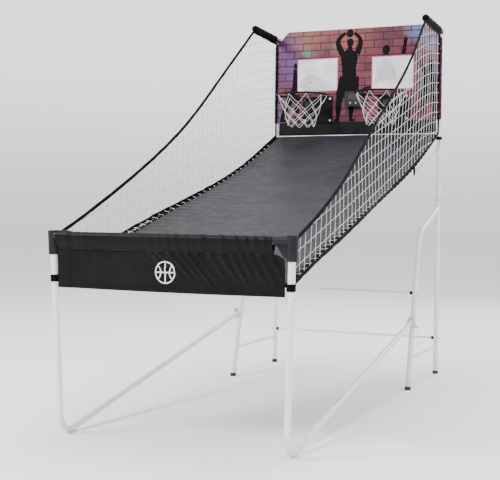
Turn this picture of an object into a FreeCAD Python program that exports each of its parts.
"""Two-player folding basketball hoop machine, modelled in millimetres.

+Z is up, the players stand at -Y and throw towards +Y, and +X is on their right.
The origin is on the floor under the middle of the machine.
"""
import FreeCAD, Part
import math
import os

V = FreeCAD.Vector
X_AXIS, Y_AXIS, Z_AXIS = V(1, 0, 0), V(0, 1, 0), V(0, 0, 1)
SIDES = (("left", -1), ("right", 1))

# The driving dimensions, in millimetres. Every one can be changed by itself.
DIMENSIONS = {
    # overall frame
    "machine_depth": 2370, "depth_offset": 20, "post_spacing": 1012,
    "post_diameter": 28.6, "leg_diameter": 25.4, "tube_wall": 1.5,
    "slip_clearance": 0.1, "fit_clearance": 0.2, "seat_clearance": 0.3, "weld_overlap": 0.5,
    "collar_length": 20,
    # front frame
    "front_bar_height": 824, "front_bar_forward": 31.4, "front_top_spacing": 1047,
    "front_foot_inset": 24.5, "leg_sleeve_height": 585, "leg_bolt_height": 606,
    "leg_seam_height": 390, "sleeve_overlap": 80, "spigot_length": 45,
    "base_bend_radius": 75, "stay_seam_reach": 744, "cap_radius": 21,
    "cap_width": 95, "cap_drop": 76,
    # fold pivot
    "pivot_height": 351.6, "pivot_offset": 31, "pivot_bolt_diameter": 8,
    "bracket_thickness": 3, "bracket_height": 62, "bracket_margin": 14,
    "eye_length": 22, "pin_diameter": 6, "pin_drop": 20, "pin_grip": 16,
    "pin_shoulder": 2, "pin_ring_radius": 5, "pin_ring_wire": 1.2, "pin_proud": 6,
    "pivot_head_radius": 8, "pivot_head_height": 5, "pivot_nut_radius": 7, "bracket_throat": 13,
    # rear frame
    "fork_foot_reach": 1740, "fork_bend_reach": 1940, "fork_bend_height": 824,
    "fork_top_height": 969, "fork_bend_radius": 90, "post_joint_height": 1045,
    "post_spigot_length": 60, "frame_bolt_drop": 31, "brace_height": 159, "brace_diameter": 16,
    "cross_diameter": 12.7, "upper_cross_height": 504.6, "lower_cross_height": 208.8,
    "crossbar_height": 1403.4, "crossbar_diameter": 19, "spacer_length": 12,
    "cap_floor": 4, "cap_skirt": 14,
    # net arms
    "arm_height": 1986, "arm_length": 390, "arm_rise": 16, "arm_diameter": 19,
    "sleeve_diameter": 42, "elbow_reach": 45, "elbow_core": 12, "elbow_plug_length": 40,
    "elbow_wall": 2.5, "elbow_bore_length": 80, "arm_tip_gap": 8, "sleeve_rounding": 6,
    # backboard
    "board_overhang": 14, "board_bottom": 1478, "board_top": 2033,
    "board_thickness": 5, "board_chamfer": 88, "board_bolt_margin": 22,
    "board_bolt_drop": 148,
    # hoops
    "rim_height": 1614, "rim_radius": 146.6, "rim_spacing": 474, "rim_stock": 10,
    "rim_reach": 277, "plate_width": 190, "plate_height": 160, "plate_thickness": 3,
    "rim_rod_spacing": 120, "rim_rod_diameter": 8, "rim_bolt_inset": 15,
    "plate_rise": 20, "rim_net_drop": 180, "rim_net_bottom_radius": 74, "net_thickness": 2,
    # score sensors
    "sensor_width": 52, "sensor_depth": 48, "sensor_height": 26,
    "paddle_width": 38, "paddle_length": 74, "paddle_thickness": 2.4,
    "paddle_pin_diameter": 3, "paddle_barrel_diameter": 8, "paddle_axis_depth": 6,
    "paddle_axis_rise": 5, "paddle_lean": 28, "sensor_pocket_depth": 14,
    "sensor_ear": 5, "sensor_roof": 4, "sensor_overlap": 27,
    # scoreboard
    "score_width": 106, "score_height": 90, "score_depth": 45, "score_wall": 2.5,
    "score_centre_height": 1610, "window_width": 62, "window_height": 34,
    "button_diameter": 11, "button_spacing": 34, "button_proud": 2.5,
    "door_width": 64, "door_length": 30, "door_setback": 8, "score_corner": 6,
    "window_rise": 14, "window_border": 3, "button_rise": 20, "button_flange": 2,
    "score_back_thickness": 3, "score_screw_diameter": 3, "screw_post_diameter": 6.8,
    "screw_reach": 8, "card_gap": 9, "card_thickness": 1.6, "cell_diameter": 10.4,
    "cell_length": 50,
    # soft parts
    "cover_drop": 212, "cover_sleeve_drop": 50, "cloth_thickness": 1.6, "cap_wall": 1.6,
    "strap_height": 650, "strap_width": 28, "ramp_side_gap": 14,
    "ramp_front_height": 650, "ramp_sag": 50, "net_sag": 112,
    "curtain_overlap": 5, "post_strap_height": 1370,
    # cords
    "lanyard_diameter": 2, "tie_cord_diameter": 2.4,
    # fasteners
    "bolt_diameter": 6, "bolt_head": 12, "bolt_head_height": 4,
}

doc = FreeCAD.newDocument("basketball_hoop_machine")
sheet = doc.addObject("Spreadsheet::Sheet", "Sizes")
for row, (alias, number) in enumerate(DIMENSIONS.items(), start=1):
    sheet.set(f"A{row}", alias.replace("_", " "))
    sheet.set(f"B{row}", str(number))
    sheet.setAlias(f"B{row}", alias)
doc.recompute()
NODES = []


def size(alias):
    """The value of one cell of the sheet."""
    return float(sheet.get(alias))


def node(label, thing):
    """Register a finished sub-part under the name of its file."""
    thing.Label = label
    NODES.append(thing)
    return thing


def feature(label, shape):
    """A sub-part whose shape is computed by Part's own functions."""
    thing = doc.addObject("Part::Feature", label + "_shape")
    thing.Shape = shape
    thing.Placement = shape.Placement
    return node(label, thing)


def group(label, shapes):
    """Several separate solids that share one node."""
    return feature(label, Part.makeCompound(shapes))


# ---------------------------------------------------------------- shape helpers
def rod(radius, start, end):
    """A solid round bar between two points."""
    along = end - start
    return Part.makeCylinder(radius, along.Length, start, along)


def tube(radius, start, end, wall):
    """A round tube between two points."""
    return rod(radius, start, end).cut(rod(radius - wall, start, end))


def block(x0, x1, y0, y1, z0, z1):
    return Part.makeBox(x1 - x0, y1 - y0, z1 - z0, V(x0, y0, z0))


def toward(start, end, distance):
    """The point at a distance from start on the way to end."""
    step = end - start
    return start + step * (distance / step.Length)


def between(start, end, height):
    """The point of a straight line at a given height."""
    share = (height - start.z) / (end.z - start.z)
    return start + (end - start) * share


def rounded_path(points, radii):
    """Straight runs joined by tangent arcs, one radius for each inner point."""
    edges = []
    last = points[0]
    for before, corner, after, radius in zip(points, points[1:], points[2:], radii):
        back = (before - corner).normalize()
        ahead = (after - corner).normalize()
        half = back.getAngle(ahead) / 2
        reach = radius / math.tan(half)
        middle = (back + ahead).normalize()
        centre = corner + middle * (radius / math.sin(half))
        first = corner + back * reach
        second = corner + ahead * reach
        edges.append(Part.LineSegment(last, first).toShape())
        top = centre - middle * radius
        edges.append(Part.Arc(first, top, second).toShape())
        last = second
    edges.append(Part.LineSegment(last, points[-1]).toShape())
    return Part.Wire(edges)


def pipe(path, radius):
    """A solid round bar along a path."""
    first = path.OrderedEdges[0]
    start = first.valueAt(first.FirstParameter)
    along = first.tangentAt(first.FirstParameter)
    ring = Part.Wire(Part.makeCircle(radius, start, along))
    solid = path.makePipeShell([ring], True, False)
    shell_check = solid.Volume / (math.pi * radius ** 2 * path.Length)
    if not 0.98 < shell_check < 1.02:
        raise ValueError(f"pipe volume is off by a factor {shell_check:.3f}")
    return solid


def bent_tube(points, bend_radius, radius, wall):
    path = rounded_path(points, [bend_radius] * (len(points) - 2))
    return pipe(path, radius).cut(pipe(path, radius - wall))


def bolt(head_at, direction, length, nut=True):
    """A bolt: head_at is under the head, direction runs down the shank."""
    head = size("bolt_head") / 2
    rise = size("bolt_head_height")
    axis = direction.normalize()
    shape = rod(head, head_at - axis * rise, head_at)
    shape = shape.fuse(rod(size("bolt_diameter") / 2, head_at - axis, head_at + axis * length))
    if nut:
        shape = shape.fuse(rod(head * 0.85, head_at + axis * length, head_at + axis * (length + rise)))
    return shape.removeSplitter()


def drilled(shape, head_at, direction, length):
    """The shape with a bolt's clearance hole through it."""
    axis = direction.normalize()
    hole = rod(size("bolt_diameter") / 2 + size("slip_clearance"), head_at - axis * 2,
               head_at + axis * (length + 2))
    return shape.cut(hole)


def mirrored(point, side):
    return V(point.x * side, point.y, point.z)


def prism_yz(points, x0, x1):
    """A flat outline in the YZ plane pulled out along X."""
    corners = [V(x0, y, z) for y, z in points]
    face = Part.Face(Part.makePolygon(corners + corners[:1]))
    return face.extrude(V(x1 - x0, 0, 0))


# ------------------------------------------------------------ derived positions
POST_R = size("post_diameter") / 2
LEG_R = size("leg_diameter") / 2
WALL = size("tube_wall")
SLIP = size("slip_clearance")
FIT = size("fit_clearance")
SEAT = size("seat_clearance")
WELD = size("weld_overlap")
COLLAR = size("collar_length")
CLOTH = size("cloth_thickness")
FRONT_Y = size("depth_offset") - size("machine_depth") / 2
REAR_Y = FRONT_Y + size("machine_depth")
POST_X = size("post_spacing") / 2
BAR_Z = size("front_bar_height")
BAR_Y = FRONT_Y - size("front_bar_forward")
LEG_TOP = V(size("front_top_spacing") / 2, BAR_Y, BAR_Z)
BOARD_BACK = REAR_Y - POST_R - SEAT
BOARD_FRONT = BOARD_BACK - size("board_thickness")
RIM_Y = BOARD_FRONT - size("rim_reach")
RIM_X = size("rim_spacing") / 2
RIM_Z = size("rim_height")
ARM_Z = size("arm_height")


def fork_point(height):
    """A point of the right fork leg's straight lower run."""
    foot = V(POST_X, FRONT_Y + size("fork_foot_reach"), 0)
    bend = V(POST_X, FRONT_Y + size("fork_bend_reach"), size("fork_bend_height"))
    return between(foot, bend, height)


PIVOT = fork_point(size("pivot_height")) - V(0, size("pivot_offset"), 0)


def base_corner():
    """Where the leg's line and the stay's line would meet, so that the bend rests on the floor."""
    radius = size("base_bend_radius")
    foot_x = LEG_TOP.x - size("front_foot_inset")
    centre_z = radius + LEG_R
    lean = math.atan2(size("front_bar_forward"), BAR_Z)
    centre_y = FRONT_Y - centre_z * math.tan(lean) + radius / math.cos(lean)
    reach = math.hypot(PIVOT.y - centre_y, PIVOT.z - centre_z)
    rise = math.atan2(PIVOT.z - centre_z, PIVOT.y - centre_y) + math.asin(radius / reach)
    # stay line through the pivot, leg line through the leg's top
    slope = math.tan(rise)
    tilt = math.tan(lean)
    z = (PIVOT.z + slope * (FRONT_Y - PIVOT.y)) / (1 + slope * tilt)
    return V(foot_x, FRONT_Y - z * tilt, z)


CORNER = base_corner()


def leg_point(height):
    return between(CORNER, LEG_TOP, height)


def ramp_height(y):
    """Height of the ramp cloth, which sags between its front edge and the crossbar."""
    share = min(max((y - BAR_Y) / (REAR_Y - BAR_Y), 0), 1)
    straight = size("ramp_front_height") + share * (size("crossbar_height") - size("ramp_front_height"))
    return straight - size("ramp_sag") * math.sin(math.pi * share ** 1.9) ** 1.1


def ramp_points(start, end, lift, steps=9):
    stations = [start + (end - start) * i / (steps - 1) for i in range(steps)]
    return [(y, ramp_height(y) + lift) for y in stations]


def curve_yz(points, x):
    line = Part.BSplineCurve()
    line.interpolate([V(x, y, z) for y, z in points])
    return line.toShape()


# -------------------------------------------------------------- PartDesign helper
def plane_of(body, role):
    for item in body.Origin.OriginFeatures:
        if item.Role == role:
            return item
    raise ValueError(role)


def outline_body(label, role, points, depth, holes=()):
    """A plate: a closed outline of straight edges, padded, with round holes cut through it."""
    body = doc.addObject("PartDesign::Body", label + "_body")
    outline = body.newObject("Sketcher::SketchObject", label + "_outline")
    outline.AttachmentSupport = (plane_of(body, role), "")
    outline.MapMode = "FlatFace"
    count = len(points)
    for index, (u, v) in enumerate(points):
        nu, nv = points[(index + 1) % count]
        outline.addGeometry(Part.LineSegment(V(u, v, 0), V(nu, nv, 0)), False)
    pad = body.newObject("PartDesign::Pad", label + "_pad")
    pad.Profile = outline
    pad.setExpression("Length", depth)
    doc.recompute()
    if holes:
        before = pad.Shape.Volume
        drawing = body.newObject("Sketcher::SketchObject", label + "_holes")
        drawing.AttachmentSupport = (plane_of(body, role), "")
        drawing.MapMode = "FlatFace"
        for u, v, radius in holes:
            drawing.addGeometry(Part.Circle(V(u, v, 0), Z_AXIS, radius), False)
        pocket = body.newObject("PartDesign::Pocket", label + "_pocket")
        pocket.Profile = drawing
        pocket.Type = "ThroughAll"
        pocket.Midplane = True
        doc.recompute()
        if pocket.Shape.Volume >= before:
            raise ValueError(f"the holes of {label} cut nothing")
    return node(label, body)


def tube_object(label, diameter, start, end, wall="tube_wall"):
    """A straight tube as a difference of two cylinders bound to the sheet."""
    parts = []
    length = (end - start).Length
    for name, radius in (("outer", f"Sizes.{diameter} / 2"),
                         ("inner", f"Sizes.{diameter} / 2 - Sizes.{wall}")):
        cylinder = doc.addObject("Part::Cylinder", f"{label}_{name}")
        cylinder.setExpression("Radius", radius)
        cylinder.Height = length
        parts.append(cylinder)
    cut = doc.addObject("Part::Cut", label + "_cut")
    cut.Base, cut.Tool = parts
    cut.Placement = FreeCAD.Placement(start, FreeCAD.Rotation(Z_AXIS, end - start))
    return node(label, cut)


# ------------------------------------------------------------------- front frame
def front_legs():
    """Upper leg tubes, slipped over the middle ones, and the middle ones with their spigots."""
    uppers, middles, bolts = [], [], []
    for _, side in SIDES:
        top = mirrored(leg_point(BAR_Z - 8), side)
        low = mirrored(leg_point(size("leg_sleeve_height")), side)
        seam = mirrored(leg_point(size("leg_seam_height")), side)
        head = mirrored(leg_point(size("leg_bolt_height")), side) + V(side * (POST_R + 0.2), 0, 0)
        inward = V(-side, 0, 0)
        through = 2 * POST_R + 0.4
        upper = tube(POST_R, low, top, WALL)
        uppers.append(drilled(upper, head, inward, through))
        middle = tube(LEG_R, seam, toward(low, top, size("sleeve_overlap")), WALL)
        spigot_r = LEG_R - WALL - SLIP
        spigot = tube(spigot_r, toward(seam, low, -size("spigot_length")), toward(seam, low, COLLAR), WALL)
        collar = tube(LEG_R - WALL + WELD, seam, toward(seam, low, COLLAR), WALL + SLIP + WELD)
        bush_r = POST_R - WALL - SLIP
        bush = tube(bush_r, low, toward(low, top, size("spigot_length") / 2), bush_r - LEG_R + WELD)
        middle = middle.fuse(spigot).fuse(collar).fuse(bush).removeSplitter()
        middles.append(drilled(middle, head, inward, through))
        bolts.append(bolt(head, inward, through))
    group("front_leg_uppers", uppers)
    group("front_leg_middles", middles)
    group("leg_bolts", bolts)


def base_tubes():
    """The tube that turns from the leg into the stay and rests on the floor at its bend."""
    for name, side in SIDES:
        seam = mirrored(leg_point(size("leg_seam_height")), side)
        corner = mirrored(CORNER, side)
        end = stay_point(size("stay_seam_reach"), side)
        feature(f"base_tube_{name}", bent_tube([seam, corner, end], size("base_bend_radius"), LEG_R, WALL))


def stay_point(reach, side):
    """A point of the stay's line, at a distance along Y from the front feet."""
    share = (FRONT_Y + reach - CORNER.y) / (PIVOT.y - CORNER.y)
    return mirrored(CORNER + (PIVOT - CORNER) * share, side)


def stay_tubes():
    """The stays, each with a spigot at its front end and a pivot eye at its rear end."""
    stays = []
    for _, side in SIDES:
        seam = stay_point(size("stay_seam_reach"), side)
        pivot = mirrored(PIVOT, side)
        body = tube(LEG_R, seam, toward(pivot, seam, size("eye_length")), WALL)
        spigot_r = LEG_R - WALL - SLIP
        spigot = tube(spigot_r, toward(seam, pivot, -size("spigot_length")), toward(seam, pivot, 20), WALL)
        collar = tube(LEG_R - WALL + WELD, seam, toward(seam, pivot, COLLAR), WALL + SLIP + WELD)
        plug = rod(LEG_R - WALL / 2, toward(pivot, seam, size("eye_length") + 14), pivot)
        half = LEG_R - 1
        eye = rod(half, pivot - V(half, 0, 0), pivot + V(half, 0, 0))
        bore = rod(size("pivot_bolt_diameter") / 2 + 0.05, pivot - V(30, 0, 0), pivot + V(30, 0, 0))
        stays.append(body.fuse(spigot).fuse(collar).fuse(plug).fuse(eye).removeSplitter().cut(bore))
    group("stay_tubes", stays)


def front_bar():
    half = LEG_TOP.x - POST_R - 9
    tube_object("front_bar", "post_diameter", V(-half, BAR_Y, BAR_Z), V(half, BAR_Y, BAR_Z))


def corner_caps():
    """Moulded corners that join the front bar to the legs, each with a web between its sockets."""
    caps = []
    radius = size("cap_radius")
    for _, side in SIDES:
        top = mirrored(LEG_TOP, side)
        low = mirrored(leg_point(BAR_Z - size("cap_drop")), side)
        crown = toward(top, low, -radius)
        inner = V(side * (LEG_TOP.x - size("cap_width") + radius), BAR_Y, BAR_Z)
        body = rod(radius, low, crown).fuse(rod(radius - 2, inner, top))
        web = Part.Face(Part.makePolygon([
            V(inner.x, BAR_Y, BAR_Z), V(top.x, BAR_Y, BAR_Z),
            V(low.x, BAR_Y, low.z + 6), V(low.x - side * 30, BAR_Y, low.z + 12), V(inner.x, BAR_Y, BAR_Z)]))
        web.translate(V(0, -4, 0))
        body = body.fuse(web.extrude(V(0, 8, 0)))
        socket = rod(POST_R + SLIP, toward(low, top, -10), mirrored(leg_point(BAR_Z - 8 + SLIP), side))
        bar_end = LEG_TOP.x - POST_R - 9 + SLIP
        bar_socket = rod(POST_R + SLIP, V(side * (abs(inner.x) - 10), BAR_Y, BAR_Z),
                         V(side * bar_end, BAR_Y, BAR_Z))
        caps.append(body.cut(socket).cut(bar_socket))
    group("corner_caps", caps)


def front_cover():
    """Cloth apron: a sleeve round the front bar, closed by a seam, with a panel hanging from it."""
    inner_r = POST_R + SEAT
    outer_r = inner_r + CLOTH
    seam_z = BAR_Z - size("cover_sleeve_drop")
    bottom_z = BAR_Z - size("cover_drop")

    def lean(z):
        return BAR_Y + size("front_bar_forward") * (BAR_Z - z) / BAR_Z

    def drop_shape(radius, apex_z, x0, x1):
        """A round sleeve with its two sides drawn together at the seam below."""
        drop = BAR_Z - apex_z
        angle = math.acos(radius / drop)
        touch_y = radius * math.sin(angle)
        touch_z = BAR_Z - radius * math.cos(angle)
        wedge = prism_yz([(BAR_Y - touch_y, touch_z), (BAR_Y + touch_y, touch_z), (lean(apex_z), apex_z)],
                         x0, x1)
        return Part.makeCylinder(radius, x1 - x0, V(x0, BAR_Y, BAR_Z), X_AXIS).fuse(wedge)

    half_top = LEG_TOP.x - size("cap_width") + size("cap_radius") - SEAT
    half_low = leg_point(bottom_z).x - POST_R - 4.5
    wing_top = BAR_Z - size("cap_drop") - 8
    sleeve = drop_shape(outer_r, seam_z, -half_top, half_top).cut(
        drop_shape(inner_r, seam_z + 6, -half_top - 1, half_top + 1))
    joint_z = seam_z + 2
    panel = prism_yz([(lean(joint_z) - CLOTH / 2, joint_z), (lean(joint_z) + CLOTH / 2, joint_z),
                      (lean(bottom_z) + CLOTH / 2, bottom_z), (lean(bottom_z) - CLOTH / 2, bottom_z)],
                     -half_top, half_top)
    wings = prism_yz([(lean(wing_top) - CLOTH / 2, wing_top), (lean(wing_top) + CLOTH / 2, wing_top),
                      (lean(bottom_z) + CLOTH / 2, bottom_z), (lean(bottom_z) - CLOTH / 2, bottom_z)],
                     -half_low, half_low)
    feature("front_cover", sleeve.fuse(panel).fuse(wings).removeSplitter())


def leg_straps():
    """Webbing straps that tie the apron's and the ramp's front corners to the legs."""
    straps = []
    inner_r = POST_R + SEAT
    half = size("strap_width") / 2
    for _, side in SIDES:
        low = mirrored(leg_point(size("strap_height") - half), side)
        high = mirrored(leg_point(size("strap_height") + half), side)
        centre = (low + high) * 0.5
        edge = leg_point(BAR_Z - size("cover_drop")).x - POST_R - 4.5 + SEAT
        tab = block(min(side * edge, centre.x), max(side * edge, centre.x), centre.y - 1, centre.y + 1,
                    centre.z - half, centre.z + half)
        band = rod(inner_r + 1.8, low, high).fuse(tab).cut(rod(inner_r, low - V(0, 0, 5), high + V(0, 0, 5)))
        straps.append(max(band.Solids, key=lambda part: part.Volume))
    group("leg_straps", straps)


# -------------------------------------------------------------------- rear frame
def rear_posts():
    """Lower posts, and upper posts plugged into them, drilled for their bolts."""
    joint = size("post_joint_height")
    top = ARM_Z - POST_R
    for name, side in SIDES:
        x = side * POST_X
        lower = tube(POST_R, V(x, REAR_Y, size("cap_floor")), V(x, REAR_Y, joint), WALL)
        upper = tube(POST_R, V(x, REAR_Y, joint), V(x, REAR_Y, top), WALL)
        spigot = tube(POST_R - WALL - SLIP, V(x, REAR_Y, joint - size("post_spigot_length")),
                      V(x, REAR_Y, joint + COLLAR), WALL)
        collar = tube(POST_R - WALL + WELD, V(x, REAR_Y, joint), V(x, REAR_Y, joint + COLLAR),
                      WALL + SLIP + WELD)
        upper = upper.fuse(spigot).fuse(collar).removeSplitter()
        for at, direction, length in post_bolts(side):
            lower = drilled(lower, at, direction, length)
            upper = drilled(upper, at, direction, length)
        for at, direction, length in board_bolts(side):
            upper = drilled(upper, at, direction, length)
        for at, direction, length in cross_bolts(side)[1:]:
            lower = drilled(lower, at, direction, length)
        feature(f"rear_post_lower_{name}", lower)
        feature(f"rear_post_upper_{name}", upper)


def post_bolts(side):
    """The bolt through each post's joint, across X."""
    height = size("post_joint_height") - size("frame_bolt_drop")
    head = V(side * (POST_X + POST_R + 0.2), REAR_Y, height)
    return [(head, V(-side, 0, 0), 2 * POST_R + 0.4)]


def board_bolts(side):
    """The bolts through the backboard's edge and the post behind it."""
    low = size("board_bottom") + size("board_bolt_margin")
    high = size("board_top") - size("board_bolt_drop")
    length = REAR_Y + POST_R - BOARD_FRONT + 0.4
    return [(V(side * POST_X, BOARD_FRONT - 0.2, z), V(0, 1, 0), length) for z in (low, high)]


def cross_bolts(side):
    """The bolts through the fork leg and the post into the cross tubes' ends."""
    upper = fork_point(size("upper_cross_height"))
    heads = [V(side * (POST_X + POST_R + 0.2), upper.y, upper.z),
             V(side * (POST_X + POST_R + 0.2), REAR_Y, size("lower_cross_height"))]
    return [(head, V(-side, 0, 0), 2 * POST_R + 24) for head in heads]


def fork_legs():
    """Legs that rise from the floor and bend back to the posts, saddled to them."""
    foot = fork_point(-20)
    bend = fork_point(size("fork_bend_height"))
    end = V(POST_X, REAR_Y, size("fork_top_height"))
    for name, side in SIDES:
        points = [mirrored(p, side) for p in (foot, bend, end)]
        leg = bent_tube(points, size("fork_bend_radius"), POST_R, WALL)
        post = rod(POST_R + SLIP, V(side * POST_X, REAR_Y, 0), V(side * POST_X, REAR_Y, ARM_Z))
        floor = block(-2 * POST_X, 2 * POST_X, foot.y - 200, foot.y + 200, -100, size("cap_floor"))
        leg = leg.cut(post).cut(floor)
        leg = max(leg.Solids, key=lambda part: part.Volume)
        at, direction, length = cross_bolts(side)[0]
        feature(f"fork_leg_{name}", drilled(leg, at, direction, length))


def side_braces():
    """Short level braces between each fork leg and its post, saddled at both ends."""
    braces = []
    height = size("brace_height")
    radius = size("brace_diameter") / 2
    start = fork_point(height)
    foot, bend = fork_point(0), fork_point(size("fork_bend_height"))
    for _, side in SIDES:
        bar = tube(radius, mirrored(start, side), V(side * POST_X, REAR_Y, height), WALL)
        bar = bar.cut(rod(POST_R + SLIP, mirrored(foot, side), mirrored(bend, side)))
        bar = bar.cut(rod(POST_R + SLIP, V(side * POST_X, REAR_Y, 0), V(side * POST_X, REAR_Y, ARM_Z)))
        braces.append(max(bar.Solids, key=lambda part: part.Volume))
    group("side_braces", braces)


def cross_tubes():
    """Two thin cross tubes with plastic spacers at their ends, held by bolts along their axes."""
    spacer = size("spacer_length")
    radius = size("cross_diameter") / 2
    upper = fork_point(size("upper_cross_height"))
    places = (("upper_cross_tube", upper.y, upper.z),
              ("lower_cross_tube", REAR_Y, size("lower_cross_height")))
    spacers, bolts = [], []
    half = POST_X - POST_R - spacer
    for label, y, z in places:
        tube_object(label, "cross_diameter", V(-half, y, z), V(half, y, z))
        for _, side in SIDES:
            near = V(side * half, y, z)
            far = V(side * (half + spacer + POST_R), y, z)
            ring = tube(radius + 3, near, far, radius + 3 - size("bolt_diameter") / 2 - SLIP)
            ring = ring.cut(post_or_leg(side, y, POST_R + SLIP))
            spacers.append(max(ring.Solids, key=lambda part: part.Volume))
    for _, side in SIDES:
        bolts += [bolt(at, direction, length, nut=False) for at, direction, length in cross_bolts(side)]
    group("cross_tube_spacers", spacers)
    group("cross_tube_bolts", bolts)


def post_or_leg(side, y, radius):
    """The outer cylinder of the post or of the fork leg that stands at y."""
    if y == REAR_Y:
        return rod(radius, V(side * POST_X, REAR_Y, 0), V(side * POST_X, REAR_Y, ARM_Z))
    return rod(radius, mirrored(fork_point(0), side), mirrored(fork_point(size("fork_bend_height")), side))


def ramp_crossbar():
    half = POST_X - POST_R - SLIP
    height = size("crossbar_height")
    tube_object("ramp_crossbar", "crossbar_diameter", V(-half, REAR_Y, height), V(half, REAR_Y, height))


def frame_bolts():
    bolts = []
    for _, side in SIDES:
        bolts += [bolt(at, direction, length) for at, direction, length in post_bolts(side)]
    group("frame_bolts", bolts)


def foot_caps():
    """Rubber caps on the four feet; each has a floor under the tube and a skirt round it."""
    caps = []
    outer = POST_R + size("cap_wall")
    skirt = size("cap_floor") + size("cap_skirt")
    for _, side in SIDES:
        for low, high in ((fork_point(-20), fork_point(60)), (V(POST_X, REAR_Y, -20), V(POST_X, REAR_Y, 60))):
            low, high = mirrored(low, side), mirrored(high, side)
            body = rod(outer, low, high)
            slab = block(low.x - 60, low.x + 60, low.y - 80, low.y + 80, 0, skirt)
            hollow = rod(POST_R + SLIP, low, high).cut(
                block(low.x - 60, low.x + 60, low.y - 80, low.y + 80, -40, size("cap_floor")))
            caps.append(body.common(slab).cut(hollow))
    group("foot_caps", caps)


def fold_brackets():
    """U-shaped brackets that wrap each fork leg and carry the stay's pivot between their cheeks."""
    brackets, bolts = [], []
    thickness = size("bracket_thickness")
    inner = POST_R + SEAT
    outer = inner + thickness
    half_height = size("bracket_height") / 2
    pivot_r = size("pivot_bolt_diameter") / 2
    for _, side in SIDES:
        pivot = mirrored(PIVOT, side)
        low = mirrored(fork_point(pivot.z - half_height), side)
        high = mirrored(fork_point(pivot.z + half_height), side)
        wrap = rod(outer, low, high)
        front = pivot.y - size("bracket_margin")
        cheeks = prism_yz([(front, low.z + 4), (low.y, low.z), (high.y, high.z), (front, high.z - 8)],
                          pivot.x - outer, pivot.x + outer)
        throat = size("bracket_throat")
        slot = prism_yz([(front - 5, low.z - 60), (low.y - throat, low.z - 60),
                         (high.y - throat, high.z + 60), (front - 5, high.z + 60)],
                        pivot.x - inner, pivot.x + inner)
        leg_space = rod(inner, mirrored(fork_point(0), side), mirrored(fork_point(800), side))
        body = wrap.fuse(cheeks).cut(leg_space).cut(slot)
        body = body.cut(rod(pivot_r + SLIP / 2, pivot - V(60, 0, 0), pivot + V(60, 0, 0)))
        lock = lock_pin_place(side)
        body = body.cut(rod(size("pin_diameter") / 2 + SLIP, lock - V(60, 0, 0), lock + V(60, 0, 0)))
        brackets.append(max(body.Solids, key=lambda part: part.Volume))
        head_at = pivot + V(side * (outer + 0.2), 0, 0)
        shank = rod(pivot_r, head_at + V(side, 0, 0), pivot - V(side * (outer + 3), 0, 0))
        head = rod(size("pivot_head_radius"), head_at, head_at + V(side * size("pivot_head_height"), 0, 0))
        nut = rod(size("pivot_nut_radius"), pivot - V(side * (outer + 0.2), 0, 0),
                  pivot - V(side * (outer + 6), 0, 0))
        bolts.append(shank.fuse(head).fuse(nut).removeSplitter())
    group("fold_brackets", brackets)
    group("pivot_bolts", bolts)


def lock_pin_place(side):
    """The lock pin's hole in the bracket's cheeks, below the stay's path."""
    return mirrored(PIVOT, side) - V(0, 0, size("pin_drop"))


def lock_pins():
    """Spring-less quick-release pins with a ring for the lanyard; they pull straight out."""
    outer = POST_R + SEAT + size("bracket_thickness")
    radius = size("pin_diameter") / 2
    for name, side in SIDES:
        place = lock_pin_place(side)
        tip = place + V(side * (outer - size("bracket_thickness") - size("pin_proud")), 0, 0)
        head = place + V(side * (outer + 0.3), 0, 0)
        end = head + V(side * size("pin_grip"), 0, 0)
        shaft = rod(radius, tip, head + V(side, 0, 0))
        shaft = shaft.fuse(rod(radius + size("pin_shoulder"), head, end))
        eye_at = end + V(side * size("pin_ring_radius"), 0, 0)
        ring = Part.makeTorus(size("pin_ring_radius"), size("pin_ring_wire"), eye_at, Y_AXIS)
        feature(f"lock_pin_{name}", shaft.fuse(ring).removeSplitter())


# ---------------------------------------------------------------------- net arms
def net_arms():
    """Plastic elbows on the posts, arm tubes that reach forward, and padded sleeves over them."""
    elbows, arms, sleeves = [], [], []
    arm_r = size("arm_diameter") / 2
    sleeve_r = size("sleeve_diameter") / 2
    top = ARM_Z - POST_R
    core = size("elbow_core")
    for _, side in SIDES:
        root = V(side * POST_X, REAR_Y, ARM_Z)
        tip = root + V(0, -size("arm_length"), size("arm_rise"))
        mouth = toward(root, tip, size("elbow_reach"))
        inside = toward(root, tip, core)
        stub = rod(POST_R, V(root.x, root.y, top), V(root.x, root.y, ARM_Z + core))
        plug = rod(POST_R - WALL - SLIP, V(root.x, root.y, top - size("elbow_plug_length")),
                   V(root.x, root.y, top + 1))
        socket = rod(arm_r + size("elbow_wall"), root, mouth)
        elbow = stub.fuse(plug).fuse(socket).removeSplitter()
        elbow = elbow.cut(rod(arm_r + SLIP, inside, toward(root, tip, size("elbow_bore_length"))))
        elbows.append(elbow)
        arms.append(tube(arm_r, toward(root, tip, core + SLIP), toward(tip, root, size("arm_tip_gap")), WALL))
        start = toward(root, tip, size("elbow_reach") + SEAT)
        bore = rod(arm_r + SEAT, toward(root, tip, COLLAR), toward(tip, root, size("arm_tip_gap") - 1))
        sleeve = rod(sleeve_r, start, tip).cut(bore)
        ends = [edge for edge in sleeve.Edges if edge.Curve.TypeId == "Part::GeomCircle"
                and abs(edge.Curve.Radius - sleeve_r) < 0.01]
        sleeves.append(sleeve.makeFillet(size("sleeve_rounding"), ends))
    group("arm_elbows", elbows)
    group("net_arms", arms)
    group("arm_sleeves", sleeves)


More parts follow.
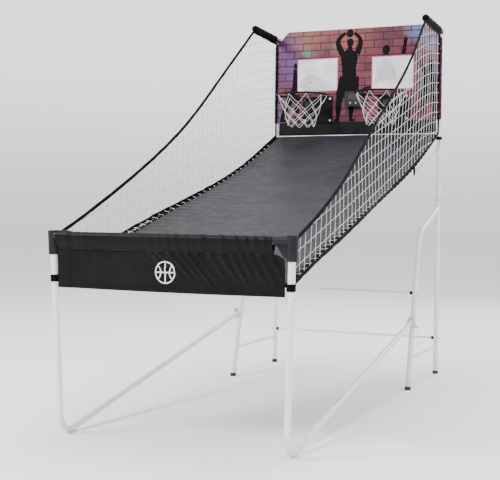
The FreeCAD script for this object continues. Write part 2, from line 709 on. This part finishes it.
# --------------------------------------------------------------------- backboard
def backboard():
    """A thin printed board with clipped top corners, drilled for its bolts."""
    half = POST_X + size("board_overhang")
    low, high = size("board_bottom"), size("board_top")
    clip = size("board_chamfer")
    outline = [(-half, low), (half, low), (half, high - clip), (half - clip, high),
               (-half + clip, high), (-half, high - clip)]
    hole = size("bolt_diameter") / 2 + SLIP
    holes = [(at.x, at.z, hole) for _, side in SIDES for at, _, _ in board_bolts(side)]
    holes += [(at.x, at.z, hole) for _, side in SIDES for at, _, _ in rim_bolt_places(side)]
    body = outline_body("backboard", "XZ_Plane", outline, "Sizes.board_thickness", holes)
    body.Placement = FreeCAD.Placement(V(0, BOARD_BACK, 0), FreeCAD.Rotation())
    bolts = []
    for _, side in SIDES:
        bolts += [bolt(at, direction, length) for at, direction, length in board_bolts(side)]
    group("backboard_bolts", bolts)


def rim_bolt_places(side):
    """Four bolts through each hoop's plate and the backboard."""
    inset = size("rim_bolt_inset")
    across = size("plate_width") / 2 - inset
    low = RIM_Z + size("plate_rise") - size("plate_height") + inset
    high = RIM_Z + size("plate_rise") - inset
    front = BOARD_FRONT - size("plate_thickness") - 0.4
    length = BOARD_BACK - front + 0.2
    return [(V(side * RIM_X + u, front, z), V(0, 1, 0), length)
            for u in (-across, across) for z in (low, high)]


def rims():
    """Hoops: a ring of round bar on two rods, welded to a plate on the backboard."""
    ring_r, stock = size("rim_radius"), size("rim_stock") / 2
    plate_back = BOARD_FRONT - 0.2
    plate_front = plate_back - size("plate_thickness")
    half = size("plate_width") / 2
    bolts = []
    for name, side in SIDES:
        centre = V(side * RIM_X, RIM_Y, RIM_Z)
        shape = Part.makeTorus(ring_r, stock, centre, Z_AXIS)
        plate_top = RIM_Z + size("plate_rise")
        plate = block(centre.x - half, centre.x + half, plate_front, plate_back,
                      plate_top - size("plate_height"), plate_top)
        shape = shape.fuse(plate)
        reach = size("rim_rod_spacing") / 2
        for u in (-reach, reach):
            start = centre + V(u, math.sqrt(ring_r ** 2 - u ** 2), 0)
            shape = shape.fuse(rod(size("rim_rod_diameter") / 2, start, V(start.x, plate_back, RIM_Z)))
        for at, direction, length in rim_bolt_places(side):
            shape = drilled(shape, at, direction, length)
            bolts.append(bolt(at, direction, length))
        feature(f"rim_{name}", shape.removeSplitter())
    group("rim_bolts", bolts)


def rim_nets():
    """Nets below the hoops, as thin open cones."""
    thickness = size("net_thickness")
    top = RIM_Z - size("rim_stock") / 2 - SEAT
    top_r, low_r = size("rim_radius"), size("rim_net_bottom_radius")
    for name, side in SIDES:
        base = V(side * RIM_X, RIM_Y, top - size("rim_net_drop"))
        drop = size("rim_net_drop")
        outer = Part.makeCone(low_r, top_r, drop, base, Z_AXIS)
        inner = Part.makeCone(low_r - thickness, top_r - thickness, drop, base, Z_AXIS)
        half = size("sensor_width") / 2 + SEAT
        notch = block(base.x - half, base.x + half, sensor_y() - SEAT, base.y + 2 * top_r,
                      top - size("sensor_height") - SEAT, top + 1)
        feature(f"rim_net_{name}", outer.cut(inner).cut(notch))


def score_sensors():
    """Sensor housings under the hoops' rods, with a sprung paddle on a pin in each."""
    width, depth, height = size("sensor_width"), size("sensor_depth"), size("sensor_height")
    top = RIM_Z - size("rim_stock") / 2 - SEAT
    rod_low = RIM_Z - size("rim_rod_diameter") / 2 - SLIP
    ring_back = RIM_Y + size("rim_radius") + size("rim_stock") / 2 + 1
    ear, roof = size("sensor_ear"), size("sensor_roof")
    pin_r = size("paddle_pin_diameter") / 2
    axis_y = sensor_y() + size("paddle_axis_depth")
    axis_z = top - height + size("paddle_axis_rise")
    housings, pins = [], []
    for name, side in SIDES:
        x, y = side * RIM_X, sensor_y()
        saddle = block(x - size("rim_rod_spacing") / 2 - ear, x + size("rim_rod_spacing") / 2 + ear,
                       ring_back, y + depth, top - roof, rod_low)
        body = block(x - width / 2, x + width / 2, y, y + depth, top - height, top).fuse(saddle)
        body = body.cut(block(x - width / 2 + ear, x + width / 2 - ear, y - 1,
                              y + size("sensor_pocket_depth"), top - height - 1, top - roof))
        pin_hole = rod(pin_r + 0.02, V(x - width, axis_y, axis_z), V(x + width, axis_y, axis_z))
        housings.append(body.removeSplitter().cut(pin_hole))
        pins.append(rod(pin_r, V(x - width / 2 - 1, axis_y, axis_z), V(x + width / 2 + 1, axis_y, axis_z)))
        paddle = score_paddle(x, axis_y, axis_z)
        paddle = paddle.cut(rod(pin_r + 0.06, V(x - width, axis_y, axis_z), V(x + width, axis_y, axis_z)))
        paddle.rotate(V(x, axis_y, axis_z), X_AXIS, -paddle_rest_angle())
        feature(f"score_paddle_{name}", paddle)
    group("sensor_housings", housings)
    group("paddle_pins", pins)


def score_paddle(x, axis_y, axis_z):
    """A barrel on the pin with a flag that narrows downwards, before it is leaned."""
    half = size("paddle_width") / 2
    thickness = size("paddle_thickness")
    barrel = rod(size("paddle_barrel_diameter") / 2, V(x - half, axis_y, axis_z), V(x + half, axis_y, axis_z))
    front = axis_y - thickness / 2
    tip_z = axis_z - size("paddle_length")
    corners = [V(x - half, front, axis_z), V(x + half, front, axis_z),
               V(x + half / 2, front, tip_z), V(x - half / 2, front, tip_z)]
    flag = Part.Face(Part.makePolygon(corners + corners[:1])).extrude(V(0, thickness, 0))
    return barrel.fuse(flag).removeSplitter()


def sensor_y():
    """The sensor housing's front, just inside the hoop's back so the paddle hangs in the net."""
    return RIM_Y + size("rim_radius") - size("sensor_overlap")


def paddle_rest_angle():
    """The paddle leans forward of the net's cone, into the ball's way."""
    cone = (size("rim_radius") - size("rim_net_bottom_radius")) / size("rim_net_drop")
    return math.degrees(math.atan(cone)) + size("paddle_lean")


# -------------------------------------------------------------------- scoreboard
def score_places():
    """The scoreboard's main planes: front, back, low, high, and the inner half width of its back."""
    back = BOARD_FRONT - 0.2
    half = size("score_height") / 2
    middle = size("score_centre_height")
    inner = size("score_width") / 2 - size("score_wall") - FIT
    return back - size("score_depth"), back, middle - half, middle + half, inner


def scoreboard():
    """The scoreboard's shell, its screwed back and its smoked window."""
    front, back, low, high, inner = score_places()
    wall, half = size("score_wall"), size("score_width") / 2
    shell = block(-half, half, front, back, low, high)
    corners = [e for e in shell.Edges if abs(e.tangentAt(e.FirstParameter).y) > 0.9]
    shell = shell.makeFillet(size("score_corner"), corners)
    shell = shell.cut(block(-half + wall, half - wall, front + wall, back + 1, low + wall, high - wall))
    window_z = size("score_centre_height") + size("window_rise")
    half_w, half_h = size("window_width") / 2, size("window_height") / 2
    shell = shell.cut(block(-half_w, half_w, front - 1, front + wall + 1,
                            window_z - half_h, window_z + half_h))
    button_r = size("button_diameter") / 2
    for u in button_places():
        at = V(u, front - 1, low + size("button_rise"))
        shell = shell.cut(rod(button_r + SEAT, at, at + V(0, wall + 2, 0)))
    door_w, door_y = size("door_width") / 2, front + size("door_setback")
    shell = shell.cut(block(-door_w, door_w, door_y, door_y + size("door_length"), low - 1, low + wall + 1))

    plate_front = back - size("score_back_thickness")
    plate = block(-inner, inner, plate_front, back, low + wall + FIT, high - wall - FIT)
    screw_r = size("score_screw_diameter") / 2
    reach = size("screw_reach")
    screws = []
    for u, z in ((-inner + 7, low + 9), (inner - 7, low + 9), (-inner + 7, high - 9), (inner - 7, high - 9)):
        plate = plate.cut(rod(screw_r + SLIP, V(u, plate_front - 1, z), V(u, back + 1, z)))
        post = rod(size("screw_post_diameter") / 2, V(u, front + wall, z), V(u, plate_front - SLIP, z))
        bite = rod(screw_r + SLIP / 2, V(u, plate_front - reach - 1, z), V(u, plate_front, z))
        shell = shell.fuse(post.cut(bite))
        screws.append(rod(screw_r, V(u, plate_front - reach, z), V(u, back - SLIP, z)))
    feature("scoreboard_housing", shell.removeSplitter())
    feature("scoreboard_back", plate)
    group("scoreboard_screws", screws)

    border = size("window_border")
    pane = block(-half_w + FIT, half_w - FIT, front + 0.6, front + wall,
                 window_z - half_h + FIT, window_z + half_h - FIT)
    rim_pane = block(-half_w - border, half_w + border, front + wall, front + wall + 1.2,
                     window_z - half_h - border, window_z + half_h + border)
    feature("score_window", pane.fuse(rim_pane).removeSplitter())


def button_places():
    reach = size("button_spacing") / 2
    return -reach, reach


def scoreboard_inside():
    """The circuit board with its display block, the two cells, the buttons and the battery door."""
    front, _, low, high, inner = score_places()
    wall = size("score_wall")
    border = size("window_border")
    window_z = size("score_centre_height") + size("window_rise")
    half_w, half_h = size("window_width") / 2, size("window_height") / 2
    board_y = front + wall + size("card_gap")
    card = block(-inner + 12, inner - 12, board_y, board_y + size("card_thickness"),
                 low + wall + 3, high - wall - 3)
    digits = block(-half_w + border, half_w - border, front + wall + 1.4, board_y,
                   window_z - half_h + border, window_z + half_h - border)
    feature("circuit_board", card.fuse(digits).removeSplitter())
    cell_r, cell_half = size("cell_diameter") / 2, size("cell_length") / 2
    cell_z = low + wall + cell_r + SEAT
    cell_gap = size("cell_diameter") + 0.4
    cells = [rod(cell_r, V(-cell_half, y, cell_z), V(cell_half, y, cell_z))
             for y in (board_y + 8, board_y + 8 + cell_gap)]
    group("battery_cells", cells)
    button_r = size("button_diameter") / 2
    for label, u in zip(("power_button", "select_button"), button_places()):
        at = V(u, front, low + size("button_rise"))
        cap = rod(button_r, at - V(0, size("button_proud"), 0), at + V(0, wall + 1, 0))
        flange = rod(button_r + size("button_flange"), at + V(0, wall + FIT, 0), at + V(0, wall + 1.6, 0))
        feature(label, cap.fuse(flange).removeSplitter())
    door_w, door_y = size("door_width") / 2, front + size("door_setback")
    feature("battery_door", block(-door_w + SEAT, door_w - SEAT, door_y + SEAT,
                                  door_y + size("door_length") - SEAT, low, low + wall))


# -------------------------------------------------------------------- soft parts
def ramp_fabric():
    """The ball-return ramp: a sagging sheet with a sleeve round the rear crossbar."""
    start = leg_point(size("ramp_front_height")).y + CLOTH / 2 + SEAT + 0.2
    bar_z = size("crossbar_height")
    sleeve_r = size("crossbar_diameter") / 2 + SEAT
    end = REAR_Y - sleeve_r - CLOTH / 2
    half = POST_X - size("ramp_side_gap")
    upper = ramp_points(start, end, 0)
    upper[-1] = (end, bar_z - 2)
    lower = [(y, z - CLOTH) for y, z in upper]
    lower[-1] = (end + 0.4, bar_z - 2 - 2 * CLOTH)
    top = curve_yz(upper, -half)
    bottom = curve_yz(lower, -half)
    front = Part.LineSegment(V(-half, *upper[0]), V(-half, *lower[0])).toShape()
    rear = Part.LineSegment(V(-half, *upper[-1]), V(-half, *lower[-1])).toShape()
    sheet_face = Part.Face(Part.Wire(Part.__sortEdges__([top, rear, bottom, front])))
    cloth = sheet_face.extrude(V(2 * half, 0, 0))
    bar_half = min(half, POST_X - POST_R - 1)
    sleeve = tube(sleeve_r + CLOTH, V(-bar_half, REAR_Y, bar_z), V(bar_half, REAR_Y, bar_z), CLOTH)
    shape = cloth.fuse(sleeve).cut(rod(sleeve_r, V(-POST_X, REAR_Y, bar_z), V(POST_X, REAR_Y, bar_z)))
    feature("ramp_fabric", max(shape.Solids, key=lambda part: part.Volume))


def side_nets():
    """Side nets between the legs, the arms, the posts and the ramp's edges."""
    thickness = size("net_thickness")
    front = BAR_Y + size("cap_radius") + 0.5
    rear = BOARD_FRONT - size("bolt_head_height") - 2 * SEAT
    arm_tip_y = REAR_Y - size("arm_length")
    under = ARM_Z - size("sleeve_diameter") / 2 - SEAT
    tip_z = under + size("arm_rise")
    low_front = ramp_height(front) + 4
    high_front = BAR_Z
    for name, side in SIDES:
        x = side * POST_X - thickness / 2
        bottom = ramp_points(front, rear, 4)
        span = arm_tip_y - front
        top = []
        for index in range(7):
            share = index / 6
            straight = high_front + share * (tip_z - high_front)
            top.append((front + share * span, straight - 4 * size("net_sag") * share * (1 - share)))
        edges = [curve_yz(bottom, x), curve_yz(top, x),
                 Part.LineSegment(V(x, *bottom[-1]), V(x, rear, under)).toShape(),
                 Part.LineSegment(V(x, rear, under), V(x, *top[-1])).toShape(),
                 Part.LineSegment(V(x, front, low_front), V(x, front, high_front)).toShape()]
        face = Part.Face(Part.Wire(Part.__sortEdges__(edges)))
        feature(f"side_net_{name}", face.extrude(V(thickness, 0, 0)))


def rear_curtain():
    """A strip of cloth that closes the gap between the ramp's crossbar and the backboard."""
    half = POST_X - POST_R - 3
    curtain = doc.addObject("Part::Box", "rear_curtain_box")
    curtain.Length = 2 * half
    curtain.setExpression("Width", "Sizes.cloth_thickness")
    low = size("crossbar_height") - 2 + SEAT
    curtain.Height = size("board_bottom") + size("curtain_overlap") - low
    curtain.Placement = FreeCAD.Placement(V(-half, BOARD_BACK + SEAT, low), FreeCAD.Rotation())
    node("rear_curtain", curtain)


def post_straps():
    """Straps that tie the ramp's rear corners to the posts."""
    straps = []
    low, high = size("post_strap_height") - 9, size("post_strap_height") + 9
    for _, side in SIDES:
        straps.append(tube(POST_R + SEAT + 1.6, V(side * POST_X, REAR_Y, low),
                           V(side * POST_X, REAR_Y, high), 1.6))
    group("post_straps", straps)


# ------------------------------------------------------------------------- cords
def cord_radii(points):
    radii = []
    for before, corner, after in zip(points, points[1:], points[2:]):
        runs = min((corner - before).Length, (after - corner).Length)
        turn = math.pi - (before - corner).getAngle(after - corner)
        radii.append(0.45 * runs / math.tan(turn / 2))
    return radii


def cord(label, points, radius):
    radii = cord_radii(points)
    path = rounded_path(points, radii)
    print(label, "length", round(path.Length, 1), "radii", [round(value, 1) for value in radii])
    feature(label, pipe(path, radius))


def lanyards():
    """Pull loops that hang from the lock pins' rings."""
    outer = POST_R + SEAT + size("bracket_thickness")
    for name, side in SIDES:
        ring = lock_pin_place(side) + V(side * (outer + 0.3 + size("pin_grip") + size("pin_ring_radius")), 0, 0)
        offsets = [(-1.4, -118), (-4, -108), (-9, -90), (-12, -68), (-11, -45), (-8, -25), (-4.5, -10),
                   (-3, -2.4), (3, -2.4), (5, -11), (8, -27), (9, -48), (8, -70), (5.5, -92),
                   (3, -108), (1.4, -118)]
        points = [ring + V(0, u, w) for u, w in offsets]
        cord(f"pin_lanyard_{name}", points, size("lanyard_diameter") / 2)


def tie_cord():
    """The tie cord on the right post's strap; it hangs along the net's lower edge to a tab."""
    start = V(POST_X + 6, REAR_Y - POST_R - SEAT - 2.2, size("post_strap_height") - 4)
    offsets = [(0, 0, 0), (2, -6, -30), (4, -34, -52), (3, -84, -66), (4, -136, -81), (5, -186, -103),
               (4, -238, -122), (3, -292, -137), (4, -347, -150), (5, -400, -162), (4, -453, -179),
               (3, -506, -197), (2, -552, -206)]
    points = [start + V(*offset) for offset in offsets]
    cord("tie_cord", points, size("tie_cord_diameter") / 2)
    end = points[-1]
    near = POST_X + size("net_thickness") / 2 + SEAT
    feature("tie_cord_tab", block(near, near + 7, end.y - 30, end.y - SEAT, end.z - 26, end.z + 24))


# ------------------------------------------------------------------------- build
front_legs()
base_tubes()
stay_tubes()
front_bar()
corner_caps()
front_cover()
leg_straps()
rear_posts()
fork_legs()
side_braces()
cross_tubes()
ramp_crossbar()
frame_bolts()
foot_caps()
fold_brackets()
lock_pins()
net_arms()
backboard()
rims()
rim_nets()
score_sensors()
scoreboard()
scoreboard_inside()
ramp_fabric()
side_nets()
rear_curtain()
post_straps()
lanyards()
tie_cord()
doc.recompute()

for thing in doc.Objects:
    if "Invalid" in thing.State or "Error" in thing.State:
        raise RuntimeError(f"{thing.Name} failed: {thing.State}")
for thing in NODES:
    if thing.Shape.isNull() or not thing.Shape.isValid():
        raise RuntimeError(f"{thing.Label} has no valid shape")

os.makedirs("parts", exist_ok=True)
for thing in NODES:
    thing.Shape.exportStep(os.path.join("parts", thing.Label + ".step"))
    print(f"{thing.Label:26s} solids {len(thing.Shape.Solids)} volume {thing.Shape.Volume:.0f}")
print(len(NODES), "nodes")
